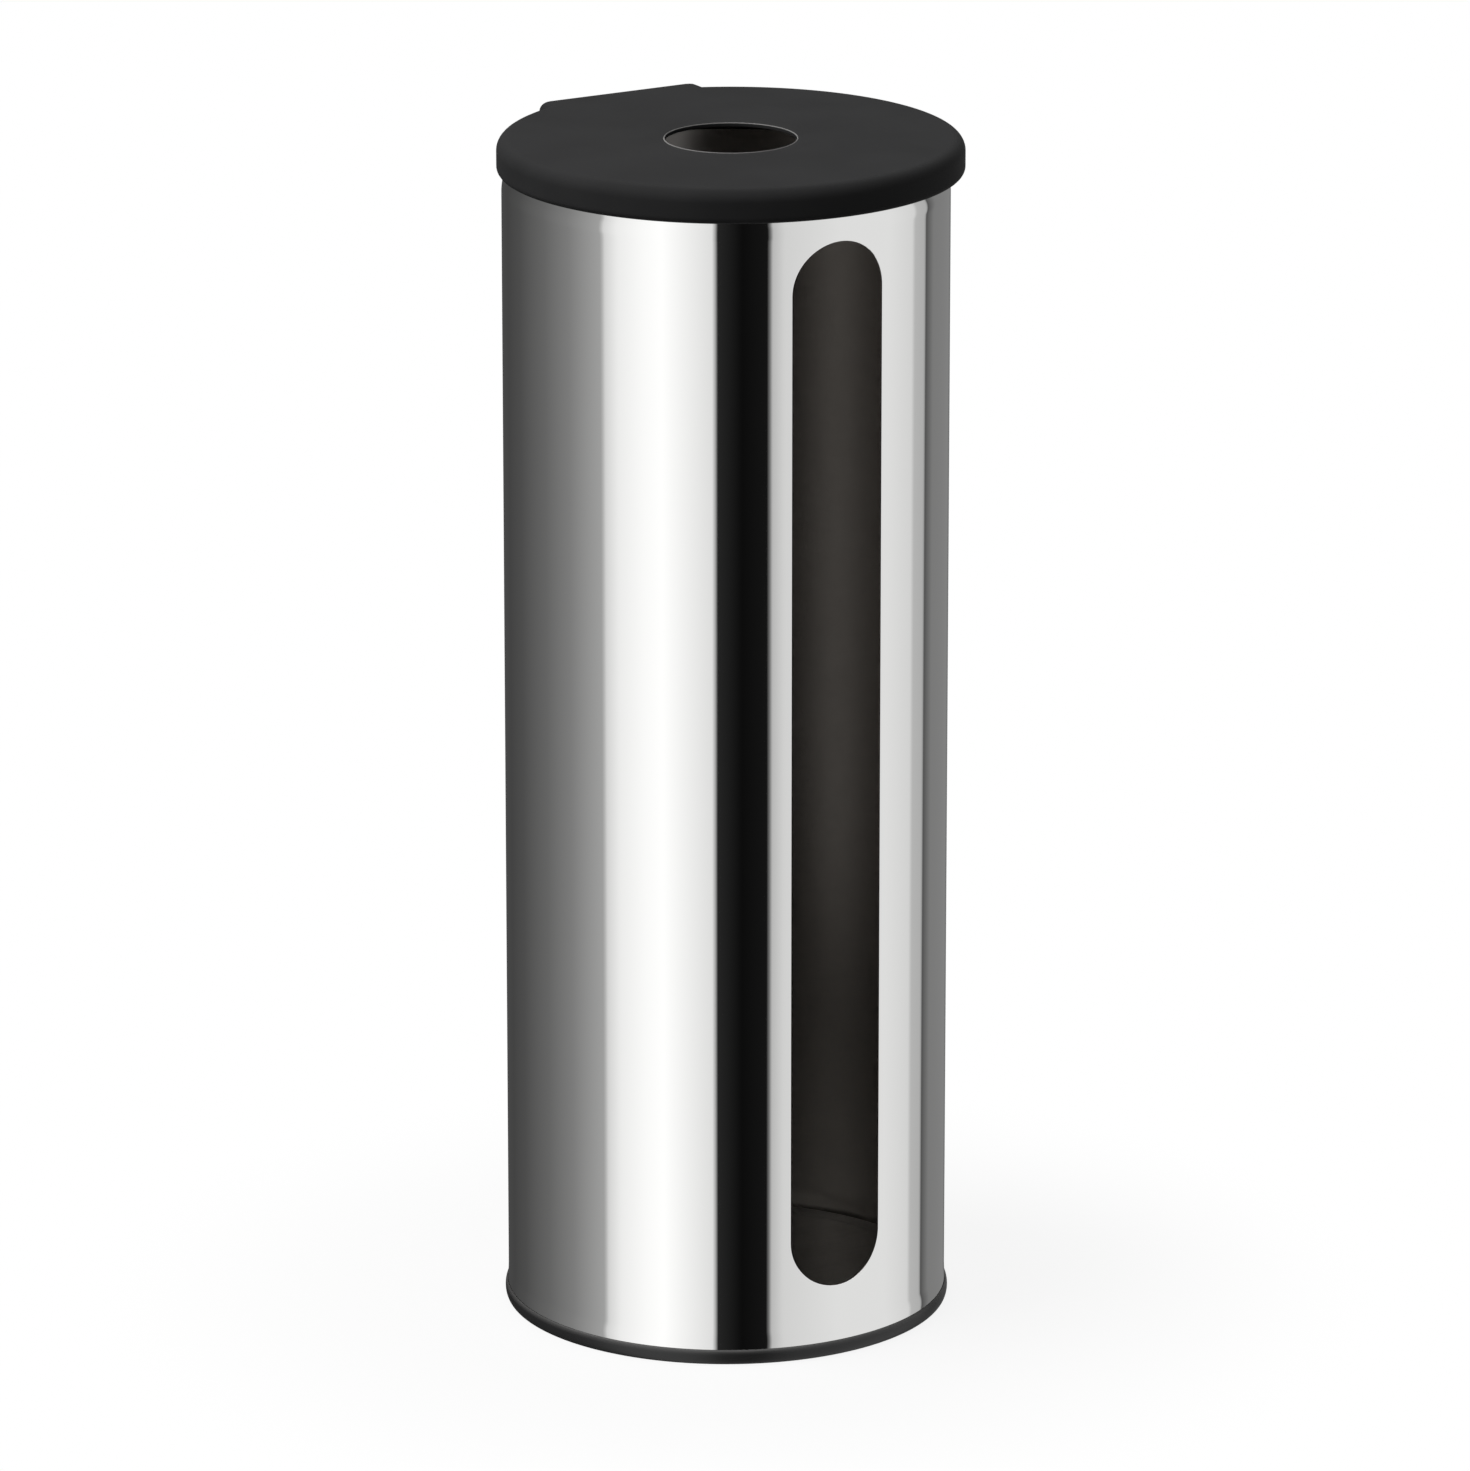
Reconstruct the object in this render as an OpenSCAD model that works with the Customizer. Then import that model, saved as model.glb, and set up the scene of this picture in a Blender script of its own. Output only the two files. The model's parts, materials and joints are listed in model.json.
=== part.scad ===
// Tall storage holder: a polished steel tube with a slot down its front,
// a black base, and a black lid that is hinged at the back.
// The slot faces -Y, the hinge is at +Y, and the holder stands on z = 0.

/* [Tube] */
// Outside diameter of the tube
tube_od = 136; // [124:1:150]
// Height of the steel tube
tube_h = 357; // [240:1:420]
// Thickness of the steel sheet
tube_wall = 0.6; // [0.4:0.1:1]
// How far the tube is drawn in under the lid
neck_in = 0.4; // [0.2:0.1:0.8]
// Height of the drawn-in neck
neck_h = 6; // [4:0.5:10]
// How far the tube is flared at its foot
foot_out = 0.2; // [0.1:0.1:0.6]
// Height of the flared foot
foot_h = 8; // [6:0.5:14]

/* [Slot] */
// Width of the slot, whose ends are half rounds
slot_w = 31; // [18:1:40]
// From the tube's lower edge up to the slot's lower end
slot_up = 20.5; // [14:0.5:60]
// From the tube's rim down to the slot's upper end
slot_down = 7.8; // [6.5:0.1:40]

/* [Base] */
// Thickness of the base under the steel
base_t = 2; // [1.5:0.5:4]
// How far its rim reaches up the outside of the foot
base_rim_h = 2.8; // [2:0.2:6]
// Thickness of that rim
base_rim_t = 0.7; // [0.5:0.1:1.5]
// Thickness of the inner wall that carries the floor plate
base_wall = 1.6; // [1:0.1:3]
// Depth of the grip grooves in the underside
groove_d = 0.5; // [0.3:0.1:0.8]
// Width of one grip groove
groove_w = 1.2; // [0.8:0.1:2]
// Number of grip grooves
groove_n = 3; // [1:1:4]

/* [Floor plate] */
// Height of the plate's top above the base's inside
floor_rise = 4; // [3.5:0.5:10]
// Thickness of the plate
floor_t = 0.6; // [0.4:0.1:0.8]
// Bend radius of the plate's edge, outside
floor_bend_r = 1.6; // [1.2:0.1:2.4]
// Width of the plate's low margin, from its edge to the pressed step
floor_margin = 6.4; // [4:0.2:12]
// Width of the pressed step round the plate
floor_step_w = 3; // [2:0.5:6]
// Height of that step
floor_step_h = 0.8; // [0.4:0.1:1.2]

/* [Collar] */
// Wall of the ring inside the tube's rim
collar_t = 1.6; // [1.2:0.1:2.4]
// How far the ring reaches down inside the rim
collar_h = 2.4; // [2:0.1:6]
// How far the ring stands above the steel
collar_proud = 0.3; // [0.1:0.1:0.6]
// Width of the tab that is riveted to the tube's back
tab_w = 18; // [14:1:26]
// Length of that tab, from the rim down
tab_h = 30; // [26:1:45]

/* [Hinge] */
// How far the hinge axis lies inside the tube's outside
hinge_inset = 4; // [3.8:0.1:6]
// Width of the post between the lid's ears
post_w = 20; // [14:1:24]
// Thickness of the post below its eye
post_t = 4.6; // [3.6:0.1:5]
// Radius of the post's eye
post_r = 3; // [2.6:0.1:3.2]
// How far the post's root reaches down inside the rim
post_root = 8; // [6:0.5:12]
// Room between the post and the lid
post_gap = 0.4; // [0.2:0.1:0.6]
// Diameter of the hinge pin
pin_d = 3; // [2:0.1:3.4]
// Length of the hinge pin
pin_l = 52; // [46:1:55]
// Radial clearance round the pin
pin_gap = 0.05; // [0.02:0.01:0.1]

/* [Rivets] */
// Diameter of a rivet
rivet_d = 3.2; // [2.4:0.1:4]
// Diameter of a rivet's outer head
rivet_head_d = 6.4; // [5.5:0.1:8]
// Height of a rivet's outer head
rivet_head_h = 1.2; // [0.8:0.1:2]
// Height of the upright edge of that head, below its dome
rivet_edge_h = 0.3; // [0.2:0.1:0.5]
// Height of a rivet's inner head
rivet_inner_h = 1; // [0.6:0.1:1.5]
// From the rim down to the first rivet
rivet_down = 12; // [11:0.5:14]
// Distance between the two rivets
rivet_pitch = 12; // [9:0.5:12]

/* [Lid] */
// Diameter of the lid
lid_od = 141.8; // [138:0.2:160]
// Thickness of the lid
lid_t = 10.5; // [9.5:0.5:14]
// Thickness of the lid's top
lid_top_t = 1.8; // [1.6:0.1:3]
// Thickness of the lid's outer wall
lid_wall = 2.4; // [2:0.1:3]
// Radius of the lid's upper edge
lid_upper_r = 4; // [2:0.5:5]
// Radius of the lid's lower edge
lid_lower_r = 1.8; // [1:0.1:1.8]
// Gap between the closed lid and the collar
lid_gap = 0.3; // [0.2:0.1:0.6]
// Diameter of the finger hole
hole_d = 40; // [30:1:50]
// Width of the sunken edge round the finger hole
dish_w = 6; // [3:0.5:10]
// Depth of that sunken edge
dish_d = 1; // [0.6:0.1:1.2]
// Width of the hinge block at the back of the lid
lug_w = 56; // [54:1:62]
// Corner radius of the hinge block, seen from above
lug_corner_r = 4.5; // [1:0.5:5]
// Radius of the hinge block's upper side edges
lug_edge_r = 3; // [1:0.5:3.5]
// Radius of its rear upper edge, which swings down over the collar when the lid opens
lug_back_r = 4; // [4:0.1:4.6]
// Thickness of an ear of the hinge block
ear_t = 3.5; // [2.5:0.5:4]
// Wall of the ring that centres the lid in the collar
spigot_t = 1.6; // [1.2:0.1:2.4]
// How far that ring hangs below the lid
spigot_h = 1.6; // [1.5:0.1:4]
// Radial room between that ring and the collar
spigot_gap = 0.6; // [0.5:0.1:1.2]
// Room between the ends of that ring and the hinge block
spigot_end_gap = 2; // [1:0.5:4]
// Thickness of the lid's ribs
rib_t = 1.6; // [1:0.1:2.4]
// Depth of the ribs below the lid's top
rib_h = 4; // [2:0.5:5]
// Number of radial ribs
rib_n = 8; // [6:2:16]
// Radius of the ring rib inside the radial ones
rib_ring_r = 36; // [30:1:45]

/* [Hidden] */
$fn = 96;

// Radial room between pieces that are pressed or clipped together
press_gap = 0.1;
// Gap between a piece and the flat seat that it stands on
seat_gap = 0.3;
// How far a piece runs into the one that it grows from
sink = 0.5;
// How far a cut runs past the face that it leaves
over = 1;
// Steps along a drawn curve
steps = 8;

// Radii of the tube at its middle and neck, outside and inside, and of its foot
tube_r = tube_od / 2;
tube_in_r = tube_r - tube_wall;
neck_r = tube_r - neck_in;
neck_in_r = neck_r - tube_wall;
foot_r = tube_r + foot_out;
// Straight stretch at the end of the neck and of the foot
neck_flat = 1.5;
foot_flat = 2;

// Heights of the steel rim, the collar's seat, the lid's lower face and the hinge axis
rim_z = base_t + tube_h;
seat_z = rim_z + collar_proud;
lid_z = seat_z + lid_gap;
axis_z = lid_z + lid_t / 2;
axis_y = tube_r - hinge_inset;

// The lid's round rim is flush with the tube at the back and overhangs at the front
lid_r = lid_od / 2;
lid_y = tube_r - lid_r;
lid_in_r = lid_r - lid_wall;
lid_under = lid_z + lid_t - lid_top_t;
lug_back = axis_y + lid_t / 2;
lug_front = axis_y - lid_t / 2;

collar_r = neck_in_r - press_gap;
collar_in_r = collar_r - collar_t;
spigot_r = collar_in_r - spigot_gap;

plate_r = tube_in_r - press_gap;
plate_in_r = plate_r - floor_t;
floor_z = base_t + floor_rise;

// Half a cosine wave from [r0, z0] to [r1, z1]
function ease(r0, z0, r1, z1) = [for (i = [0:steps])
    [r0 + (r1 - r0) * (1 - cos(180 * i / steps)) / 2, z0 + (z1 - z0) * i / steps]];

// Arc of radius r about [x, y] from angle a0 to a1
function arc(x, y, r, a0, a1) = [for (i = [0:steps])
    let(a = a0 + (a1 - a0) * i / steps) [x + r * cos(a), y + r * sin(a)]];

function back_to_front(points) = [for (i = [len(points) - 1:-1:0]) points[i]];

// The tube's sheet, followed up its outside from foot to rim, less an inset
function sheet_line(inset) = concat(
    [[foot_r - inset, base_t]],
    ease(foot_r - inset, base_t + foot_flat, tube_r - inset, base_t + foot_h),
    ease(tube_r - inset, rim_z - neck_h, neck_r - inset, rim_z - neck_flat),
    [[neck_r - inset, rim_z]]);

// A rod along X through the hinge axis
module hinge_rod(r, l) {
    translate([0, axis_y, axis_z])
        rotate([0, 90, 0])
            cylinder(r = r, h = l, center = true);
}

// A rod along Y through the tube's back, one at each rivet
module at_rivets() {
    for (i = [0, 1])
        translate([0, 0, rim_z - rivet_down - i * rivet_pitch])
            rotate([-90, 0, 0])
                children();
}

// Rectangle from [x0, y0] to [x1, y1]
module field(x0, y0, x1, y1) {
    translate([x0, y0])
        square([x1 - x0, y1 - y0]);
}

// Rectangle whose two corners at y1 are rounded
module shouldered(x0, y0, x1, y1, r) {
    field(x0, y0, x1, y1 - r);
    field(x0 + r, y0, x1 - r, y1);
    for (x = [x0 + r, x1 - r])
        translate([x, y1 - r])
            circle(r);
}

module tube() {
    slot_r = slot_w / 2;
    slot_low = base_t + slot_up + slot_r;
    slot_high = rim_z - slot_down - slot_r;
    color([0.78, 0.79, 0.8])
        difference() {
            rotate_extrude()
                polygon(concat(sheet_line(0), back_to_front(sheet_line(tube_wall))));
            for (z = [slot_low, slot_high])
                translate([0, 0, z])
                    rotate([90, 0, 0])
                        cylinder(r = slot_r, h = tube_r + over);
            translate([-slot_r, -tube_r - over, slot_low])
                cube([slot_w, tube_r + over, slot_high - slot_low]);
            at_rivets()
                cylinder(d = rivet_d + 2 * press_gap, h = tube_r + over);
        }
}

// The base is clipped over the foot: rim outside, wall inside, floor plate on the wall
module base() {
    rim_in_r = foot_r + press_gap;
    rim_r = rim_in_r + base_rim_t;
    wall_r = plate_r - floor_bend_r;
    wall_h = floor_rise - floor_step_h - floor_t - seat_gap;
    bead = base_t / 2;
    groove_r = wall_r - base_wall;
    color([0.13, 0.13, 0.14])
        difference() {
            rotate_extrude()
                polygon(concat(
                    [[0, 0]],
                    arc(rim_r - bead, bead, bead, -90, 0),
                    [[rim_r, base_t + base_rim_h / 2],
                     [rim_r - base_rim_t / 2, base_t + base_rim_h],
                     [rim_in_r, base_t + base_rim_h],
                     [rim_in_r, base_t],
                     [wall_r, base_t],
                     [wall_r, base_t + wall_h],
                     [wall_r - base_wall, base_t + wall_h],
                     [wall_r - base_wall, base_t],
                     [0, base_t]]));
            for (i = [0:groove_n - 1])
                translate([0, 0, -over])
                    difference() {
                        cylinder(r = groove_r - 2 * i * groove_w, h = over + groove_d);
                        cylinder(r = groove_r - (2 * i + 1) * groove_w, h = over + groove_d);
                    }
        }
}

// Pressed plate: raised middle, step, flat margin, and an edge bent down
module floor_plate() {
    step_r = plate_r - floor_margin;
    low_z = floor_z - floor_step_h;
    color([0.7, 0.71, 0.72])
        rotate_extrude()
            polygon(concat(
                [[0, floor_z]],
                ease(step_r - floor_step_w, floor_z, step_r, low_z),
                arc(plate_r - floor_bend_r, low_z - floor_bend_r, floor_bend_r, 90, 0),
                [[plate_r, base_t + seat_gap],
                 [plate_in_r, base_t + seat_gap]],
                arc(plate_r - floor_bend_r, low_z - floor_bend_r, floor_bend_r - floor_t, 0, 90),
                back_to_front(ease(step_r - floor_step_w, floor_z - floor_t, step_r, low_z - floor_t)),
                [[0, floor_z - floor_t]]));
}

// Ring inside the rim, with the riveted tab and the hinge post at its back
module rim_collar() {
    pad_top = rim_z - neck_h - seat_gap;
    pad_r = tube_in_r - press_gap;
    chamfer = collar_t / 4;
    color([0.15, 0.15, 0.16])
        difference() {
            union() {
                rotate_extrude()
                    polygon([[collar_in_r, rim_z - collar_h],
                             [collar_r - chamfer, rim_z - collar_h],
                             [collar_r, rim_z - collar_h + chamfer],
                             [collar_r, seat_z],
                             [collar_in_r, seat_z]]);
                intersection() {
                    rotate_extrude()
                        polygon([[collar_in_r, rim_z - tab_h],
                                 [pad_r, rim_z - tab_h],
                                 [pad_r, pad_top],
                                 [collar_r, pad_top],
                                 [collar_r, rim_z],
                                 [collar_in_r, rim_z]]);
                    translate([-tab_w / 2, 0, rim_z - tab_h - over])
                        cube([tab_w, tube_r, tab_h + 2 * over]);
                }
                intersection() {
                    translate([-post_w / 2, axis_y - post_t / 2, rim_z - post_root])
                        cube([post_w, post_t, axis_z - rim_z + post_root]);
                    cylinder(r = collar_r, h = axis_z + over);
                }
                hinge_rod(post_r, post_w);
            }
            hinge_rod(pin_d / 2 + pin_gap, post_w + 2 * over);
            at_rivets()
                cylinder(d = rivet_d + 2 * press_gap, h = tube_r + over);
        }
}

// Two rivets: a shank, a domed head outside and a flat head inside
module hinge_rivets() {
    outside = tube_r + press_gap;
    inside = sqrt(pow(collar_in_r, 2) - pow(rivet_head_d / 2, 2)) - press_gap;
    head_r = rivet_head_d / 2;
    dome_h = rivet_head_h - rivet_edge_h;
    color([0.72, 0.72, 0.73])
        at_rivets()
            rotate_extrude()
                polygon(concat(
                    [[0, inside - rivet_inner_h],
                     [head_r - rivet_inner_h / 2, inside - rivet_inner_h],
                     [head_r, inside - rivet_inner_h / 2],
                     [head_r, inside],
                     [rivet_d / 2, inside],
                     [rivet_d / 2, outside],
                     [head_r, outside]],
                    [for (i = [0:steps])
                        [head_r * cos(90 * i / steps), outside + rivet_edge_h + dome_h * sin(90 * i / steps)]]));
}

module hinge_pin() {
    tip = pin_d / 8;
    color([0.75, 0.75, 0.76])
        translate([-pin_l / 2, axis_y, axis_z])
            rotate([0, 90, 0])
                rotate_extrude()
                    polygon([[0, 0],
                             [pin_d / 2 - tip, 0],
                             [pin_d / 2, tip],
                             [pin_d / 2, pin_l - tip],
                             [pin_d / 2 - tip, pin_l],
                             [0, pin_l]]);
}

// The lid's round shell about its own centre, with its lower face at z = 0
module lid_shell() {
    hole_r = hole_d / 2;
    inner_r = 1.2;
    rotate_extrude()
        polygon(concat(
            arc(lid_r - lid_lower_r, lid_lower_r, lid_lower_r, -90, 0),
            arc(lid_r - lid_upper_r, lid_t - lid_upper_r, lid_upper_r, 0, 90),
            [for (i = [0:steps])
                [hole_r + dish_w * (1 - sin(90 * i / steps)), lid_t - dish_d * (1 - cos(90 * i / steps))]],
            [[hole_r, lid_t - lid_top_t]],
            arc(lid_in_r - inner_r, lid_t - lid_top_t - inner_r, inner_r, 90, 0),
            [[lid_in_r, 0]]));
}

// The block at the lid's back: half round about the hinge axis below, rounded edges above
module lug_block() {
    half_w = lug_w / 2;
    intersection() {
        translate([0, 0, lid_z])
            linear_extrude(lid_t)
                shouldered(-half_w, lug_front, half_w, lug_back, lug_corner_r);
        translate([-half_w - over, axis_y, lid_z])
            rotate([90, 0, 90])
                linear_extrude(lug_w + 2 * over)
                    union() {
                        field(-lid_t / 2, 0, 0, lid_t);
                        translate([0, lid_t / 2])
                            circle(lid_t / 2);
                        shouldered(-lug_back_r * 2, lid_t / 2, lid_t / 2, lid_t, lug_back_r);
                    }
        translate([0, lug_back + over, lid_z])
            rotate([90, 0, 0])
                linear_extrude(lid_t + 2 * over)
                    shouldered(-half_w, 0, half_w, lid_t, lug_edge_r);
    }
}

// Ribs under the lid's top: a ring, and radial ones whose outer ends come down to the seat
module lid_ribs() {
    rib_low = lid_under - rib_h;
    seat_in = spigot_r - spigot_t - abs(lid_y);
    translate([0, lid_y, 0]) {
        difference() {
            translate([0, 0, rib_low])
                cylinder(r = rib_ring_r + rib_t, h = rib_h + sink);
            translate([0, 0, rib_low - over])
                cylinder(r = rib_ring_r, h = rib_h + sink + 2 * over);
        }
        for (i = [0:rib_n - 1])
            rotate([0, 0, 360 * (i + 0.5) / rib_n]) {
                translate([rib_ring_r + rib_t / 2, -rib_t / 2, rib_low])
                    cube([lid_in_r - rib_ring_r - rib_t / 2 + sink, rib_t, rib_h + sink]);
                translate([seat_in, -rib_t / 2, lid_z])
                    cube([lid_in_r - seat_in + sink, rib_t, lid_t - lid_top_t + sink]);
            }
    }
}

// Ring that drops inside the collar, open at the back for the hinge
module lid_spigot() {
    spigot_z = lid_z - spigot_h;
    open_w = lug_w + 2 * spigot_end_gap;
    difference() {
        translate([0, 0, spigot_z])
            cylinder(r = spigot_r, h = lid_under - spigot_z + sink);
        translate([0, 0, spigot_z - over])
            cylinder(r = spigot_r - spigot_t, h = lid_under - spigot_z + sink + 2 * over);
        translate([-open_w / 2, 0, spigot_z - over])
            cube([open_w, tube_r, lid_under - spigot_z + sink + 2 * over]);
    }
}

module lid() {
    half_w = lug_w / 2;
    pocket_w = post_w + 2 * post_gap;
    pocket_r = post_r + post_gap;
    core_x = pocket_w / 2 + ear_t;
    core_w = half_w - ear_t - core_x;
    core_y = lug_front + ear_t / 2;
    color([0.14, 0.14, 0.15])
        difference() {
            union() {
                difference() {
                    translate([0, lid_y, lid_z])
                        lid_shell();
                    translate([-half_w + over, lug_front + over, lid_z - over])
                        cube([lug_w - 2 * over, tube_r, lid_t + 2 * over]);
                }
                lug_block();
                lid_ribs();
                lid_spigot();
            }
            translate([-pocket_w / 2, axis_y - pocket_r, lid_z - over])
                cube([pocket_w, pocket_r + lid_t, lid_t / 2 + pocket_r + over]);
            for (side = [-1, 1])
                translate([side * (core_x + core_w / 2) - core_w / 2, core_y, lid_z - over])
                    cube([core_w, lid_t - ear_t, lid_t - lid_top_t + over]);
            hinge_rod(pin_d / 2 + pin_gap, lug_w + 2 * over);
        }
}

tube();
base();
floor_plate();
rim_collar();
hinge_rivets();
hinge_pin();
lid();
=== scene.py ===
# %% [markdown]
# # A tall holder of polished steel
# The real thing is one rolled sheet of polished steel on a black foot, closed by a black lid
# that turns on a pin at the back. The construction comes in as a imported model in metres, with
# +Z up, the slot facing -Y and the hinge at +Y. This lesson dresses it: most of the visible
# pieces are worked out again as fine surfaces, each gets its finish, and a small studio lights
# them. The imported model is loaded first, because the main sizes are read from it. As it is in
# metres, a size in millimetres is written as a number times MM.

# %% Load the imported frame
import bpy
import json
import math
import numpy as np
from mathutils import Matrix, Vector


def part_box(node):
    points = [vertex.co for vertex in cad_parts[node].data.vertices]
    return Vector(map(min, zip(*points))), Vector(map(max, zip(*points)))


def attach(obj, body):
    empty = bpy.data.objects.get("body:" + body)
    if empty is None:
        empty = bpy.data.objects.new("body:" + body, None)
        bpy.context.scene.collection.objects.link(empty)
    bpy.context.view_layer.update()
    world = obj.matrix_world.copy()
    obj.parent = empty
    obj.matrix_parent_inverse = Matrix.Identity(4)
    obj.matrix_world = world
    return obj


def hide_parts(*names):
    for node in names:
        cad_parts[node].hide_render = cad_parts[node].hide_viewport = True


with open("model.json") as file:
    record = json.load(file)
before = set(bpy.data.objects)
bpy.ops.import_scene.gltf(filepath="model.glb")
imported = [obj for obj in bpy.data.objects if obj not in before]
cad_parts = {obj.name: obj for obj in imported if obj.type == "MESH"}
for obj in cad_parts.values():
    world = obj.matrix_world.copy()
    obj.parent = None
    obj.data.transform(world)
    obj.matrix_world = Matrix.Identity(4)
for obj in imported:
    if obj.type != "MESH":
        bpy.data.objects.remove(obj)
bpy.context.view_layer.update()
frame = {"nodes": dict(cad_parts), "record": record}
record = frame["record"]
MM = 0.001
print("nodes:", sorted(frame["nodes"]))

# %% [markdown]
# ## The camera
# A picture of such a tall, thin thing is taken with a long lens from about three metres, a
# little to one side and looking down, so that the lid's top shows. The angles are named, and
# the place follows from them: back from the aim along the line of sight.

# %% The camera
VIEW_AZIMUTH = math.radians(-30.1)
VIEW_ELEVATION = math.radians(16.6)
VIEW_DISTANCE = 3
VIEW_LENS = 238.7
AIM_RIGHT = 2.7 * MM
AIM_HEIGHT = 180.6 * MM
FAR_CLIP = 50


def direction(azimuth, elevation):
    """Unit vector: azimuth 0 looks along -Y and grows towards +X, elevation grows upwards."""
    level = math.cos(elevation)
    return Vector((math.sin(azimuth) * level, -math.cos(azimuth) * level, math.sin(elevation)))


camera = bpy.data.objects.new("camera", bpy.data.cameras.new("camera"))
bpy.context.scene.collection.objects.link(camera)
bpy.context.scene.camera = camera
camera.data.lens = VIEW_LENS
camera.data.clip_end = FAR_CLIP
back = direction(VIEW_AZIMUTH, VIEW_ELEVATION)
right = Vector((math.cos(VIEW_AZIMUTH), math.sin(VIEW_AZIMUTH), 0))
aim = Vector((0, 0, AIM_HEIGHT)) + right * AIM_RIGHT
camera.location = aim + back * VIEW_DISTANCE
camera.rotation_euler = (-back).to_track_quat("-Z", "Y").to_euler()
print("camera at", [round(c, 3) for c in camera.location])

# %% [markdown]
# ## Shader maths as plain expressions
# A finish is mostly arithmetic on a few patterns. A small class wraps one output of a node
# and gives it Python's operators, so that a sum of two patterns is written as a sum and the
# Math nodes appear by themselves. Every other node comes from one method.

# %% Wires: node outputs with operators
class Wire:
    """One output in a node tree. Operators add Math nodes; node() adds any other node."""

    def __init__(self, tree, socket=None):
        self.tree = tree
        self.socket = socket

    def node(self, kind, settings=None, inputs=None, output=0):
        """A node of that kind: settings first, then a value or a wire into each named socket.
        Stops among the settings are places and grey levels for a colour ramp."""
        made = self.tree.nodes.new("ShaderNode" + kind)
        settings = dict(settings or {})
        stops = settings.pop("stops", None)
        for name, value in settings.items():
            setattr(made, name, value)
        if stops:
            ramp = made.color_ramp.elements
            while len(ramp) < len(stops):
                ramp.new(1)
            for element, (place, level) in zip(ramp, stops):
                element.position = place
                element.color = (level, level, level, 1)
        for name, value in (inputs or {}).items():
            if isinstance(value, Wire):
                self.tree.links.new(value.socket, made.inputs[name])
            else:
                made.inputs[name].default_value = value
        return Wire(self.tree, made.outputs[output])

    def other(self, output):
        """Another output of the same node."""
        return Wire(self.tree, self.socket.node.outputs[output])

    def split(self):
        """The three numbers of this vector."""
        first = self.node("SeparateXYZ", inputs={"Vector": self})
        return first, first.other(1), first.other(2)

    def math(self, operation, *values):
        """A Math node on these numbers or wires."""
        return self.node("Math", {"operation": operation}, dict(enumerate(values)))

    def __add__(self, other):
        return self.math("ADD", self, other)

    def __sub__(self, other):
        return self.math("SUBTRACT", self, other)

    def __rsub__(self, other):
        return self.math("SUBTRACT", other, self)

    def __mul__(self, other):
        return self.math("MULTIPLY", self, other)

    __rmul__ = __mul__

    def ease(self, low, high, start=0.0, end=1.0):
        """Smooth step of this value from low to high, going from start to end."""
        return self.node(
            "MapRange",
            {"interpolation_type": "SMOOTHSTEP"},
            {"Value": self, "From Min": low, "From Max": high, "To Min": start, "To Max": end},
        )

    def blend(self, colour, into):
        """One colour where this is 0 and another where it is 1. The Mix node has sockets for
        numbers and vectors too: those for colours are inputs 6 and 7 and output 2."""
        first, last = (c if isinstance(c, Wire) else (*c, 1) for c in (colour, into))
        return self.node("Mix", {"data_type": "RGBA"}, {0: self, 6: first, 7: last}, 2)


def new_material(name):
    """A material without nodes, and a bare wire in its tree that new nodes start from."""
    material = bpy.data.materials.new(name)
    material.use_nodes = True
    material.node_tree.nodes.clear()
    print("finish:", name)
    return material, Wire(material.node_tree)


def finish_with(shader, kind="OutputMaterial"):
    """Joins a shader to its tree's output."""
    output = shader.tree.nodes.new("ShaderNode" + kind)
    shader.tree.links.new(shader.socket, output.inputs["Surface"])


def ray_kinds(here):
    """Two masks: what the camera sees, straight or through something clear, and what a mirror
    sees."""
    straight = here.node("LightPath", output="Is Camera Ray")
    return straight + straight.other("Is Transmission Ray"), straight.other("Is Glossy Ray")


# %% [markdown]
# ## The studio
# Polished metal has no look of its own: it shows the room. In a studio, two tall soft boxes
# stand beside the camera with a dark gap between them, and that gap is the black stripe down
# the steel. Here the room is a world that gives reflected rays a brightness by their compass
# direction, counted in whole turns so that it can drive a ramp, and an even ceiling further
# up. Matt surfaces get a plain light, and the camera sees white behind everything.

# %% The room that the steel reflects
ROOM = (
    # degrees round from where the camera stands, towards its right, and brightness
    (-180, 0.07),
    (-151, 0.06),
    (-132, 0.08),
    (-107, 0.14),
    (-88, 0.22),
    (-67, 0.38),
    (-64.5, 0.72),
    (-57, 0.93),
    (-43, 1.06),
    (-33, 1.12),
    (-21, 0.97),
    (-6.5, 0.8),
    (-4.5, 0.02),
    (8, 0.004),
    (22, 0.008),
    (23.5, 0.52),
    (30, 0.7),
    (60, 0.8),
    (92, 0.8),
    (111, 0.71),
    (114, 0.5),
    (123.5, 0.46),
    (124.8, 0.08),
    (127, 0.12),
    (134, 0.21),
    (164, 0.23),
    (180, 0.07),
)
CEILING, CEILING_FROM, CEILING_FULL = 1.3, 0.3, 0.8
PLAIN_LIGHT = 0.16
WHITE = (1, 1, 1, 1)

world = bpy.data.worlds.new("studio")
bpy.context.scene.world = world
world.use_nodes = True
world.node_tree.nodes.clear()
here = Wire(world.node_tree)
east, north, up = here.node("TexCoord", output="Generated").split()
turn = (here.math("ARCTAN2", east, 0 - north) - VIEW_AZIMUTH) * (0.5 / math.pi)
turn = here.math("FRACT", turn + 0.5)
stops = [(degrees / 360 + 0.5, level) for degrees, level in ROOM]
walls = here.node("ValToRGB", {"stops": stops}, {"Fac": turn})
above = up.ease(CEILING_FROM, CEILING_FULL)
room = walls * (1 - above) + CEILING * above
seen, mirrored = ray_kinds(here)
level = seen + (1 - seen) * (mirrored * room + (1 - mirrored) * PLAIN_LIGHT)
background = here.node("Background", inputs={"Color": WHITE, "Strength": level})
finish_with(background, "OutputWorld")
print("room stops:", len(ROOM))

# %% [markdown]
# One large lamp from the upper left gives most of the light on what is matt: the lid's top is
# brightest, its side falls off towards the right, and the foot gets a soft shadow. It is kept
# out of reflections, where its outline would show.

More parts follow.
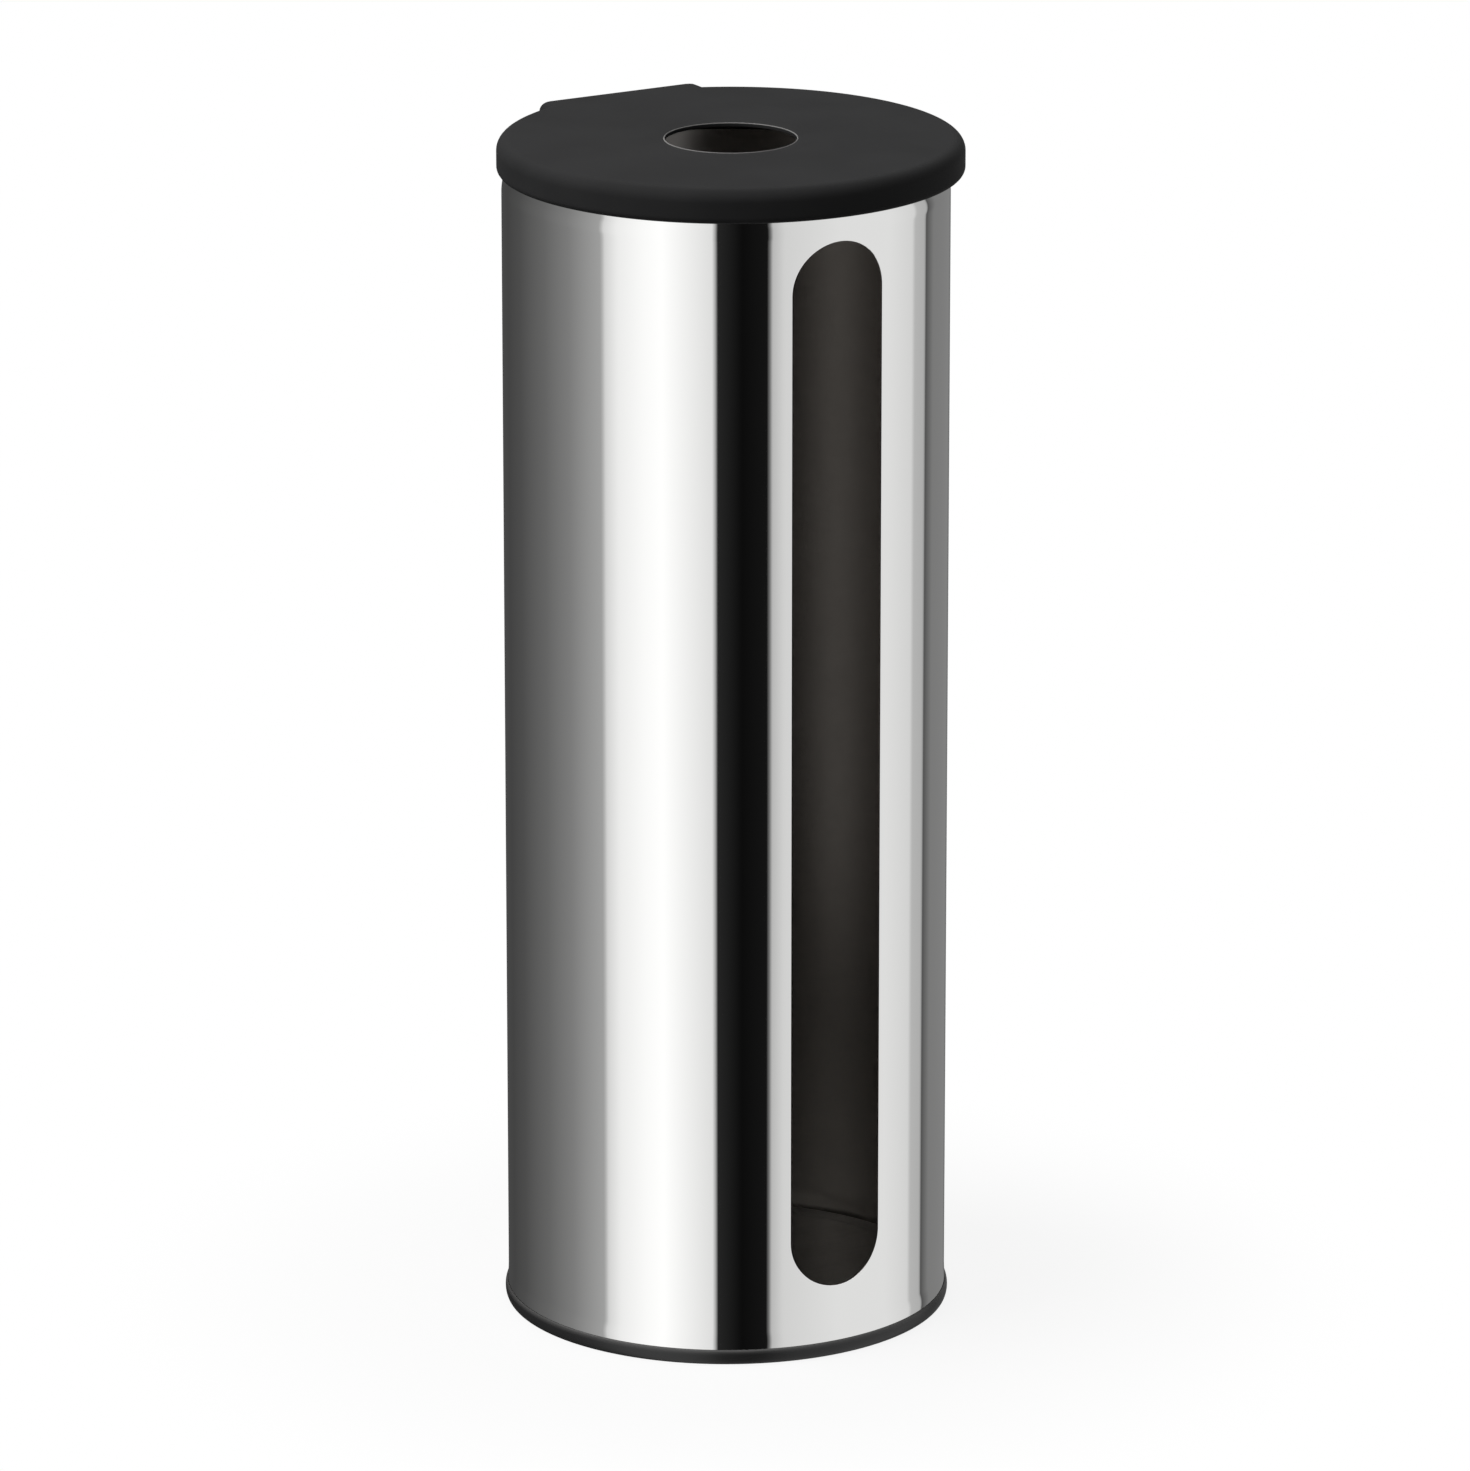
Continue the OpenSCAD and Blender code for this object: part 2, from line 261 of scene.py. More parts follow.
# %% The lamp
LAMP_SIZE = 1.8
LAMP_DISTANCE = 2.2
LAMP_WATTS = 37
LAMP_TURN, LAMP_RISE = math.radians(-70), math.radians(50)

lamp = bpy.data.objects.new("soft_lamp", bpy.data.lights.new("soft_lamp", "AREA"))
bpy.context.scene.collection.objects.link(lamp)
lamp.data.shape = "DISK"
lamp.data.size = LAMP_SIZE
lamp.data.energy = LAMP_WATTS
lamp_side = direction(VIEW_AZIMUTH + LAMP_TURN, LAMP_RISE)
lamp.location = Vector((0, 0, AIM_HEIGHT)) + lamp_side * LAMP_DISTANCE
lamp.rotation_euler = (-lamp_side).to_track_quat("-Z", "Y").to_euler()
lamp.visible_glossy = False
print("lamp at", [round(c, 2) for c in lamp.location])

# %% [markdown]
# The floor is white paper. For the camera most of its white is a glow of its own, which keeps
# the shadow light, and further out all of it is, so that it meets the background without an
# edge. For light that bounces off it, it is only a grey, or it would light the lid from below.

# %% The floor
FLOOR_HALF = 6
PAPER_R, WHITE_R = 0.075, 0.21
GLOW = 0.88
LIT_PAPER, SEEN_PAPER = (0.12, 0.12, 0.12), (0.97, 0.97, 0.97)

floor_mesh = bpy.data.meshes.new("floor")
signs = [(-1, -1), (1, -1), (1, 1), (-1, 1)]
corners = [(FLOOR_HALF * x, FLOOR_HALF * y, 0) for x, y in signs]
floor_mesh.from_pydata(corners, [], [(0, 1, 2, 3)])
floor = bpy.data.objects.new("floor", floor_mesh)
bpy.context.scene.collection.objects.link(floor)
material, here = new_material("pale_floor")
where = here.node("TexCoord", output="Object")
reach = here.node("VectorMath", {"operation": "LENGTH"}, {0: where}, "Value")
seen, _ = ray_kinds(here)
paper = here.node("BsdfDiffuse", inputs={"Color": seen.blend(LIT_PAPER, SEEN_PAPER)})
white = here.node("Emission", inputs={"Color": WHITE, "Strength": 1.0})
glow = reach.ease(PAPER_R, WHITE_R, GLOW, 1) * seen
finish_with(here.node("MixShader", inputs={0: glow, 1: paper, 2: white}))
floor_mesh.materials.append(material)
floor.visible_glossy = False

# %% [markdown]
# ## Meshes from whole arrays
# Every new piece is a grid of points that a formula fills in one go. One helper joins each row
# of a grid to the next, another makes the mesh. Points that share a place, to a ten-thousandth
# of a millimetre, are merged there, so a seam or a pole is closed by giving both sides the same
# place.

# %% Grids into meshes
SHARP_ANGLE = math.radians(32)
MERGE_DIGITS = 7


def quads(index, closed=False):
    """Four corners of every cell in a grid of point numbers that runs round: its last column
    joins the first. With closed, its last row joins the first as well."""
    index = np.hstack([index, index[:, :1]])
    if closed:
        index = np.vstack([index, index[:1]])
    corners = [index[:-1, :-1], index[:-1, 1:], index[1:, 1:], index[1:, :-1]]
    return np.stack(corners, axis=-1).reshape(-1, 4)


def build(name, points, faces, material, marks=None):
    """A mesh object from points and quads. Points at one place become one, a quad that is left
    with three corners becomes a triangle, and marks is a number for each point."""
    points = np.asarray(points, float).reshape(-1, 3)
    places = np.round(points, MERGE_DIGITS)
    _, first, same = np.unique(places, axis=0, return_index=True, return_inverse=True)
    faces = same.reshape(-1)[np.asarray(faces)]
    keep = faces != np.roll(faces, -1, axis=1)
    faces, keep = faces[keep.sum(1) > 2], keep[keep.sum(1) > 2]
    mesh = bpy.data.meshes.new(name)
    mesh.vertices.add(len(first))
    mesh.vertices.foreach_set("co", points[first].astype(np.float32).ravel())
    mesh.loops.add(int(keep.sum()))
    mesh.loops.foreach_set("vertex_index", faces[keep].astype(np.int32))
    mesh.polygons.add(len(faces))
    starts = np.cumsum(keep.sum(1)) - keep.sum(1)
    mesh.polygons.foreach_set("loop_start", starts.astype(np.int32))
    mesh.update(calc_edges=True)
    if marks is not None:
        mark = mesh.attributes.new("mark", "FLOAT", "POINT")
        mark.data.foreach_set("value", np.asarray(marks, np.float32).ravel()[first])
    mesh.shade_smooth()
    mesh.set_sharp_from_angle(angle=SHARP_ANGLE)
    mesh.materials.append(material)
    piece = bpy.data.objects.new(name, mesh)
    bpy.context.scene.collection.objects.link(piece)
    print("%s: %d points, %d faces" % (name, len(mesh.vertices), len(mesh.polygons)))
    return piece


def joined(grids, closed=False):
    """Several grids as one list of points and one of quads, each grid joined up by itself."""
    points, faces, count = [], [], 0
    for grid in grids:
        index = count + np.arange(grid.shape[0] * grid.shape[1]).reshape(grid.shape[:2])
        faces.append(quads(index, closed))
        points.append(grid.reshape(-1, 3))
        count += index.size
    return np.vstack(points), np.vstack(faces)


def place(piece, body, slot, *replaced):
    """Says what the piece rides on and which nodes it stands for; slot is not used."""
    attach(piece, body)
    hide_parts(*replaced)


def glide(share):
    """Half a cosine wave from 0 to 1, flat at both ends."""
    return (1 - np.cos(np.pi * np.clip(share, 0, 1))) / 2


# %% [markdown]
# ## Polished steel
# The sheet is stainless steel, buffed to a mirror after rolling. Four things keep it from
# looking like perfect chrome: the buffing leaves fine upright streaks of slightly different
# gloss, rolling leaves shallow waves that make a straight reflection waver, the weld down the
# back stays a little duller, and the inside is left as it came from the mill, rougher and much
# less bright: its darker, browner colour is partly the mill finish and partly painted shade.

# %% Polished steel
NOISE_LOW, NOISE_HIGH = 0.3, 0.7
STREAKS, STREAK_STRETCH = 900, 0.01
WAVES, WAVE_STRETCH, WAVE_DEPTH = 16, 0.25, 0.12 * MM
BUFFED, MILL_AND_SHADE = (0.9, 0.9, 0.89), (0.47, 0.45, 0.43)
BUFFED_ROUGH, STREAK_ROUGH, MILL_ROUGH = 0.012, 0.035, 0.3
WELD_HALF, WELD_CORE, BACK_EASE = 0.6 * MM, 0.3, 10 * MM
WELD_RISE, WELD_ROUGH = 0.2, 0.2


def polished_steel():
    """Mirror steel: a noise squeezed around the tube for streaks, a wide one for the waves, and
    a narrow band at x = 0 on the back for the weld."""
    material, here = new_material("mirror_steel")
    where = here.node("TexCoord", output="Object")
    inside = here.node("Attribute", {"attribute_name": "mark"}, output="Fac")
    x, y, _ = where.split()
    weld = here.math("ABSOLUTE", x).ease(WELD_CORE * WELD_HALF, WELD_HALF, 1, 0)
    weld = weld * y.ease(0, BACK_EASE)
    upright = here.node("Mapping", inputs={"Vector": where, "Scale": (1, 1, STREAK_STRETCH)})
    streak = here.node("TexNoise", inputs={"Vector": upright, "Scale": STREAKS, "Detail": 3})
    lazy = here.node("Mapping", inputs={"Vector": where, "Scale": (1, 1, WAVE_STRETCH)})
    wave = here.node("TexNoise", inputs={"Vector": lazy, "Scale": WAVES, "Detail": 1})
    height = wave + weld * WELD_RISE
    rolled = here.node("Bump", inputs={"Height": height, "Distance": WAVE_DEPTH, "Strength": 1})
    buffed = streak.ease(NOISE_LOW, NOISE_HIGH, BUFFED_ROUGH, STREAK_ROUGH) * (1 - inside)
    # The inner face's darker, browner colour is partly the mill finish and partly painted shade.
    shader = here.node(
        "BsdfPrincipled",
        inputs={
            "Base Color": inside.blend(BUFFED, MILL_AND_SHADE),
            "Metallic": 1,
            "Roughness": buffed + inside * MILL_ROUGH + weld * WELD_ROUGH,
            "Normal": rolled,
        },
    )
    finish_with(shader)
    return material


steel = polished_steel()

# %% [markdown]
# ## The tube
# One sheet, rolled round and butt welded at the back, drawn in a little under the lid and
# flared at the foot, with a slot whose ends are half rounds. A boolean would cut the slot out
# of a turned shape, but leaves long thin faces at its ends, and a mirror shows them. Here the
# grid itself follows the slot: columns in front of it run in two short strips that end at the
# half rounds, and all other columns run the full height. SLOT_LOW and SLOT_HIGH are the heights
# of the two half rounds' centres.

# %% Sizes of the tube
FOOT_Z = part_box("tube")[0].z
RIM_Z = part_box("tube")[1].z
STEEL_R = 68 * MM
SHEET = 0.6 * MM
NECK_IN, NECK_H, NECK_FLAT = 0.4 * MM, 6 * MM, 1.5 * MM
FLARE, FLARE_H, FLARE_FLAT = 0.2 * MM, 8 * MM, 2 * MM
SLOT_R = 15.5 * MM
SLOT_FROM_FOOT, SLOT_FROM_RIM = 20.5 * MM, 7.8 * MM
SLOT_LOW = FOOT_Z + SLOT_FROM_FOOT + SLOT_R
SLOT_HIGH = RIM_Z - SLOT_FROM_RIM - SLOT_R
EDGE_R, EDGE_BAND, EDGE_ROWS = 0.15 * MM, 0.3 * MM, 4
SLOT_COLUMNS = 41
ROUND_COLUMNS = 240
ROWS = (12, 14, 40, 12, 12)
print("slot from %.1f to %.1f mm" % ((SLOT_LOW - SLOT_R) / MM, (SLOT_HIGH + SLOT_R) / MM))

# %% The sheet as a function of column and row
def steel_radius(z):
    """Outer radius at height z: the tube's, less the neck's share, plus the flare's."""
    neck = glide((z - RIM_Z + NECK_H) / (NECK_H - NECK_FLAT))
    flare = glide((FOOT_Z + FLARE_H - z) / (FLARE_H - FLARE_FLAT))
    return STEEL_R - NECK_IN * neck + FLARE * flare


def on_sheet(turn, z, inset):
    """Point at an angle from the front, going towards +X, at height z, inset from the outside."""
    radius = steel_radius(z) - inset
    return np.stack([radius * np.sin(turn), -radius * np.cos(turn), z + 0 * turn], axis=-1)


def column_turns(half, radius):
    """Angle of every column, on rows of these radii: in front of a slot of that half width x is
    half times a sine, and the rest is shared out evenly."""
    across = half * np.sin(np.linspace(-np.pi / 2, np.pi / 2, SLOT_COLUMNS))
    front = np.arcsin(across / radius[:, :SLOT_COLUMNS])
    brim = np.arcsin(half / radius[:, -1:])
    share = np.linspace(0, 1, ROUND_COLUMNS + 1)[1:-1]
    return np.hstack([front, brim + (2 * np.pi - 2 * brim) * share])


def sheet_grid(half, trim, inset):
    """The sheet as a grid, around a slot of half width half and with its two ends trimmed.
    Rows: the flare, up to the slot's lower end, the slot's sides, up to the neck, the neck."""
    dip = half * np.cos(np.linspace(-np.pi / 2, np.pi / 2, SLOT_COLUMNS))
    dip = np.append(dip, np.zeros(ROUND_COLUMNS - 1))
    level = 0 * dip
    flare_top, neck_low = FOOT_Z + FLARE_H + level, RIM_Z - NECK_H + level
    ends = [
        (FOOT_Z + trim + level, flare_top),
        (flare_top, SLOT_LOW - dip),
        (SLOT_LOW + level, SLOT_HIGH + level),
        (SLOT_HIGH + dip, neck_low),
        (neck_low, RIM_Z - trim + level),
    ]
    steps = [np.linspace(0, 1, count + 1)[:, None] for count in ROWS]
    z = np.vstack([low + (high - low) * step for (low, high), step in zip(ends, steps)])
    return on_sheet(column_turns(half, steel_radius(z) - inset), z, inset)


# %% The cut edge of the sheet
def edge_section():
    """Offset from the cut and inset from the outside, from the outer face to the inner one: a
    narrow flat band, a quarter round, the cut, a quarter round and a band again."""
    a = np.linspace(0, np.pi / 2, EDGE_ROWS)
    offset = np.concatenate([[EDGE_R + EDGE_BAND], EDGE_R * (1 - np.sin(a))])
    inset = np.concatenate([[0], EDGE_R * (1 - np.cos(a))])
    return np.append(offset, offset[::-1]), np.append(inset, SHEET - inset[::-1])


def slot_edge(offset, inset):
    """Round the slot: the lower half round, the right side, the upper half round, the left."""
    half, inset = (SLOT_R + offset)[:, None], inset[:, None]
    t = np.linspace(-np.pi / 2, np.pi / 2, SLOT_COLUMNS)[None, :]
    share = np.linspace(0, 1, ROWS[2] + 1)[None, 1:-1]
    side = SLOT_LOW + (SLOT_HIGH - SLOT_LOW) * share + 0 * half
    z = np.hstack([SLOT_LOW - half * np.cos(t), side, SLOT_HIGH + half * np.cos(t), side[:, ::-1]])
    straight = half + 0 * side
    x = np.hstack([half * np.sin(t), straight, -half * np.sin(t), -straight])
    return on_sheet(np.arcsin(x / (steel_radius(z) - inset)), z, inset)


def end_edge(edge, sign, half, offset, inset):
    """Round the rim or the foot, where sign says on which side of the edge the steel lies."""
    z = (edge + sign * offset)[:, None]
    radius = steel_radius(z) - inset[:, None]
    return on_sheet(column_turns(half, radius), z, inset[:, None])


# %% The tube's mesh
def tube_mesh():
    """Outer face, inner face, and the edge section carried round the slot, rim and foot. The
    cells that would cover the slot are left out, and marks is 1 on the inner face."""
    offset, inset = edge_section()
    half, trim = SLOT_R + offset[0], offset[0]
    outer = sheet_grid(half, trim, 0)
    inner = sheet_grid(half, trim, SHEET)[:, ::-1]
    rim = end_edge(RIM_Z, -1, half, offset, inset)
    foot = end_edge(FOOT_Z, 1, half, offset, inset)[:, ::-1]
    grids = [outer, inner, slot_edge(offset, inset), rim, foot]
    points, faces = joined(grids)
    row, column = np.divmod(np.arange((len(outer) - 1) * outer.shape[1]), outer.shape[1])
    first = ROWS[0] + ROWS[1] + 1
    open_rows = (row >= first) & (row <= first + ROWS[2] + 1)
    in_slot = open_rows & (column < SLOT_COLUMNS - 1)
    behind = open_rows & (column >= outer.shape[1] - SLOT_COLUMNS) & (column < outer.shape[1] - 1)
    keep = np.concatenate([~in_slot, ~behind, np.full(len(faces) - 2 * len(row), True)])
    marks = np.concatenate([np.full(grid[..., 0].size, float(grid is inner)) for grid in grids])
    return points, faces[keep], marks


points, faces, marks = tube_mesh()
tube = build("steel_tube", points, faces, steel, marks)
place(tube, "holder", "polished_steel", "tube")

# %% [markdown]
# ## Turned pieces
# The foot, the floor plate and a rivet are the same all the way round, so the shape of each is
# one outline carried about an axis. The outline is a list of corners, each with its own small
# radius: no moulded or pressed edge is ever quite sharp, and the light that such a radius
# catches is what makes it look made. Outlines are in plain millimetres, and become metres as
# they are turned.

# %% Outlines with rounded corners
STRAIGHT, ARC_STEPS = 0.999, 4


def rounded(corners):
    """Closed outline through corners (x, z, radius) in mm. At each corner an arc of that radius
    touches both sides: it is centred on the bisector, radius over the sine of the half angle
    away, and turns from one side's normal to the other's. A straight run keeps its point."""
    shape = []
    for before, here, after in zip(corners[-1:] + corners[:-1], corners, corners[1:] + corners[:1]):
        point, radius = np.array(here[:2], float), here[2]
        a, b = (np.array(p[:2], float) - point for p in (before, after))
        a, b = a / np.hypot(*a), b / np.hypot(*b)
        if radius == 0 or abs(a @ b) > STRAIGHT:
            shape.append(point)
            continue
        half = np.arccos(a @ b) / 2
        centre = point + (a + b) / np.hypot(*(a + b)) * radius / np.sin(half)
        start = point + a * radius / np.tan(half) - centre
        end = point + b * radius / np.tan(half) - centre
        bend = np.pi - 2 * half
        share = np.linspace(0, 1, ARC_STEPS + 1)[:, None]
        arc = (np.sin((1 - share) * bend) * start + np.sin(share * bend) * end) / np.sin(bend)
        shape.extend(centre + arc)
    return np.array(shape)


def turned(outline, columns=288):
    """The outline in mm carried round the Z axis: radius times cosine and sine, and the height.
    Where the outline runs counter-clockwise in (radius, z), the faces point outwards."""
    turn = np.linspace(0, 2 * np.pi, columns, endpoint=False)[None, :]
    r, z = outline[:, :1], outline[:, 1:] + 0 * turn
    return np.stack([r * np.cos(turn), r * np.sin(turn), z], axis=-1) * MM


# %% [markdown]
# ## Moulded plastic
# The black plastic is matt on the lid and a little smoother on the foot. Its mould was etched,
# which leaves a grain of about a third of a millimetre, too fine to see as bumps but enough to
# spread the light. Handling polishes the grain away: round the finger hole the lid is a little
# smoother. The thin pale line at the very edge of the hole is a painted highlight.

# %% Moulded plastic
GRAIN, GRAIN_DEPTH, CLOUDS = 3000, 0.01 * MM, 40
CLOUD_TINT, CLOUD_ROUGH = 1.15, 0.03
RUBBED = 0.08
HIGHLIGHT_GREY = (0.31, 0.305, 0.3)


def moulded(name, colour, dull, shine, wear_and_highlight=None):
    """Plastic with an etched grain: a fine noise in the bump, a broad one in colour and gloss.
    dull is its roughness and shine its specular level. The last argument gives two masks from
    the place: where it is smoother from wear, and where a pale highlight is painted on."""
    material, here = new_material(name)
    where = here.node("TexCoord", output="Object")
    etched = here.node("TexNoise", inputs={"Vector": where, "Scale": GRAIN, "Detail": 2})
    cloud = here.node("TexNoise", inputs={"Vector": where, "Scale": CLOUDS, "Detail": 3})
    paler = tuple(CLOUD_TINT * c for c in colour)
    tint = cloud.ease(NOISE_LOW, NOISE_HIGH).blend(colour, paler)
    rough = cloud.ease(NOISE_LOW, NOISE_HIGH, dull - CLOUD_ROUGH, dull + CLOUD_ROUGH)
    if wear_and_highlight:
        smooth, painted_highlight = wear_and_highlight(where)
        # A pale grey painted over the plastic stands in for a highlight on an edge.
        tint = painted_highlight.blend(tint, HIGHLIGHT_GREY)
        rough = rough - smooth * RUBBED
    shader = here.node(
        "BsdfPrincipled",
        inputs={
            "Base Color": tint,
            "Roughness": rough,
            "Specular IOR Level": shine,
            "Normal": here.node("Bump", inputs={"Height": etched, "Distance": GRAIN_DEPTH}),
        },
    )
    finish_with(shader)
    return material


inner_plastic = moulded("collar_matt", (0.018, 0.018, 0.018), dull=0.5, shine=0.25)

# %% [markdown]
# ## The foot
# A black base is clipped over the flared foot of the tube. Only its rim shows below the steel.
# It bulges a little, as half of a flat ellipse. Its upper part is a little smoother, and is
# painted paler as a highlight, which draws a soft line round the foot. Three grooves in the
# underside keep it from sliding.

# %% The foot
FOOT_R, FOOT_H, BULGE = 69, 4.8, 1
RIM_TURN = np.radians(np.linspace(-75, 70, 25))
RIM_IN, RIM_DROP, RIM_SOFT = 68.3, 0.1, 0.03
WALL_R, WALL_T, WALL_H, WALL_SOFT = 65.7, 1.6, 2.3, 0.3
BASE_T = 2
GROOVES, GROOVE_W, GROOVE_D, GROOVE_SOFT = 3, 1.2, 0.5, 0.15
SMOOTH_FROM, SMOOTH_FULL = 2.5 * MM, 4.5 * MM
HIGHLIGHT_FROM, HIGHLIGHT_MOST = 3 * MM, 0.3


def foot_outline():
    """Underside with its grooves from the axis outwards, round the rim, and back inside. The
    rim's radius is the outer one less bulge * (1 - cos a), its height half of all * (1 + sin a)."""
    corners = [(0, 0, 0)]
    for step in reversed(range(GROOVES)):
        high = WALL_R - WALL_T - 2 * step * GROOVE_W
        low = high - GROOVE_W
        for r, z in ((low, 0), (low, GROOVE_D), (high, GROOVE_D), (high, 0)):
            corners.append((r, z, GROOVE_SOFT))
    for a in RIM_TURN:
        corners.append((FOOT_R - BULGE * (1 - np.cos(a)), FOOT_H / 2 * (1 + np.sin(a)), 0))
    corners += [(RIM_IN, FOOT_H - RIM_DROP, RIM_SOFT), (RIM_IN, BASE_T, 0)]
    wall_in, wall_top = WALL_R - WALL_T, BASE_T + WALL_H
    for r, z in ((WALL_R, BASE_T), (WALL_R, wall_top), (wall_in, wall_top), (wall_in, BASE_T)):
        corners.append((r, z, WALL_SOFT))
    return rounded(corners + [(0, BASE_T, 0)])


def foot_wear_and_highlight(where):
    """Smoother towards the top of the rim, and painted paler there as a highlight."""
    _, _, z = where.split()
    # The second mask paints a highlight along the top of the rim.
    return z.ease(SMOOTH_FROM, SMOOTH_FULL), z.ease(HIGHLIGHT_FROM, FOOT_H * MM, 0, HIGHLIGHT_MOST)


foot_plastic = moulded("foot_satin", (0.015, 0.015, 0.0153), dull=0.36, shine=0.5, wear_and_highlight=foot_wear_and_highlight)
foot = build("foot", *joined([turned(foot_outline())], closed=True), foot_plastic)
place(foot, "holder", "foot_plastic", "base")

# %% [markdown]
# ## Plain steel
# The floor plate, the rivets and the hinge pin are not polished. The plate keeps the straight
# marks of the rolling mill, the pin was ground while it turned, so its marks run round it, and
# a rivet's formed head has no direction. One finish does all three: a noise that is squeezed
# along the marks.

# %% Plain steel
MARKS, MARK_DEPTH = 1500, 0.0012 * MM
MARK_SMOOTHER, MARK_ROUGHER = 0.06, 0.08
TARNISH, TARNISH_HIGH, TARNISH_TINT = 60, 0.75, 0.85


def plain_steel(name, colour, dull, marks):
    """Steel of roughness dull with fine marks: a noise scaled by marks along x, y and z, in
    the bump and the gloss."""
    material, here = new_material(name)
    where = here.node("TexCoord", output="Object")
    along = here.node("Mapping", inputs={"Vector": where, "Scale": marks})
    mark = here.node("TexNoise", inputs={"Vector": along, "Scale": MARKS, "Detail": 4})
    tarnish = here.node("TexNoise", inputs={"Vector": where, "Scale": TARNISH, "Detail": 3})
    darker = tuple(TARNISH_TINT * c for c in colour)
    rough = mark.ease(NOISE_LOW, NOISE_HIGH, dull - MARK_SMOOTHER, dull + MARK_ROUGHER)
    shader = here.node(
        "BsdfPrincipled",
        inputs={
            "Base Color": tarnish.ease(NOISE_LOW, TARNISH_HIGH).blend(colour, darker),
            "Metallic": 1,
            "Roughness": rough,
            "Normal": here.node("Bump", inputs={"Height": mark, "Distance": MARK_DEPTH}),
        },
    )
    finish_with(shader)
    return material


plate_steel = plain_steel("mill_steel", (0.62, 0.62, 0.61), dull=0.34, marks=(0.02, 1, 1))
rivet_steel = plain_steel("formed_steel", (0.68, 0.68, 0.67), dull=0.26, marks=(1, 1, 1))
pin_steel = plain_steel("ground_steel", (0.62, 0.62, 0.62), dull=0.2, marks=(1, 0.03, 0.03))

# %% [markdown]
# ## The floor plate
# A pressed plate closes the tube at the foot. Its middle is raised by a shallow step, which
# stiffens the thin sheet, and its edge is bent down.

# %% The floor plate
PLATE_R, PLATE_T = 67.3, 0.6
PLATE_TOP, PLATE_LOW = 6, 2.3
STEP_H, STEP_IN, STEP_OUT, STEP_SOFT = 0.8, 57.9, 60.9, 1.5
BEND_R, CUT_SOFT = 1, 0.1


def plate_outline():
    """Under the plate outwards, down its bent edge and up again, and back over the top."""
    low, high, inside = PLATE_TOP - PLATE_T, PLATE_TOP, PLATE_R - PLATE_T
    under = [(0, low, 0), (STEP_IN, low, STEP_SOFT), (STEP_OUT, low - STEP_H, STEP_SOFT)]
    edge = [(inside, low - STEP_H, BEND_R), (inside, PLATE_LOW, CUT_SOFT)]
    edge += [(PLATE_R, PLATE_LOW, CUT_SOFT), (PLATE_R, high - STEP_H, BEND_R + PLATE_T)]
    over = [(STEP_OUT, high - STEP_H, STEP_SOFT), (STEP_IN, high, STEP_SOFT), (0, high, 0)]
    return rounded(under + edge + over)


plate = build("floor_disc", *joined([turned(plate_outline())], closed=True), plate_steel)
place(plate, "holder", "plate_steel", "floor_plate")

# %% [markdown]
# ## The rivets
# Two rivets hold the collar's tab to the back of the tube. Each was set from outside: a domed
# head on the polished steel, a flat one within. They are turned about Z and then laid along +Y.

# %% The rivets
RIVET_R, HEAD_R, HEAD_EDGE, DOME = 1.6, 3.2, 0.3, 0.9
HEAD_T, HEAD_SOFT, HEAD_BRIM, HEAD_BEVEL = 1, 0.4, 0.1, 0.08
HEAD_IN, HEAD_ON = 65.12, 68.1
RIVET_DOWN = (12, 24)
RIVET_COLUMNS, DOME_ROWS = 64, 9


def rivet_grid(height):
    """A rivet at a height in mm. The dome is a quarter ellipse: radius times the cosine, and
    dome height times the sine."""
    a = np.linspace(0, np.pi / 2, DOME_ROWS)
    dome = np.stack([HEAD_R * np.cos(a), HEAD_ON + HEAD_EDGE + DOME * np.sin(a)], axis=-1)
    flat = [(0, HEAD_IN - HEAD_T, 0), (HEAD_R, HEAD_IN - HEAD_T, HEAD_SOFT)]
    flat = rounded(flat + [(HEAD_R, HEAD_IN, HEAD_BRIM), (RIVET_R, HEAD_IN, 0)])
    shank = [(RIVET_R, HEAD_ON), (HEAD_R - HEAD_BEVEL, HEAD_ON), (HEAD_R, HEAD_ON + HEAD_BEVEL)]
    x, y, z = np.moveaxis(turned(np.vstack([flat, shank, dome]), RIVET_COLUMNS), -1, 0)
    return np.stack([y, z, x + height * MM], axis=-1)


grids = [rivet_grid(RIM_Z / MM - down) for down in RIVET_DOWN]
rivets = build("rivets", *joined(grids, closed=True), rivet_steel)
place(rivets, "holder", "rivet_steel", "hinge_rivets")

# %% [markdown]
# ## The lid
# One black moulding: a round cap with a soft upper edge, and at its back a block with a
# straight rear face that holds the hinge pin. A disc joined to a box would need fillets between
# them that are hard to get. Here the lid is one closed sheet of points instead. Seen from above,
# each level of it is a ring that runs round the rim and then round the block, and each part of
# the ring draws in with the height by its own fillet. The rings go up the outside, across the
# top into a shallow dish, over a fine bead at the finger hole's edge and down through it, back
# under the top and down the inner wall.

# %% Sizes of the lid
LID_LOW, LID_HIGH = (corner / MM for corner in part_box("lid"))
_, AXIS_Y, AXIS_Z = (c / MM for c in record["behaviour"]["joints"][0]["pos_m"])
LID_R = LID_HIGH.x
LID_Y = LID_LOW.y + LID_R
LID_T = 2 * (LID_HIGH.z - AXIS_Z)
LID_Z = LID_HIGH.z - LID_T
TOP_T, LID_WALL = 1.8, 2.4
UPPER_R, LOWER_R, INNER_R, LIP_R = 4, 1.8, 1.2, 0.2
HOLE_R, HOLE_EDGE, DISH_W, DISH_D = 20, 0.3, 6, 1
BEAD_R = 0.2
BLOCK_HALF, BLOCK_CORNER, BLOCK_CORNER_LEAST = 28, 4.5, 0.3
BLOCK_SIDE_R, BLOCK_BACK_R, BLOCK_LOW_R = 3, 4, 0.4
BLOCK_BACK, BLOCK_FRONT = AXIS_Y + LID_T / 2, AXIS_Y - LID_T / 2
print("lid %.1f mm across, %.1f mm thick, centre at y %.1f" % (2 * LID_R, LID_T, LID_Y))

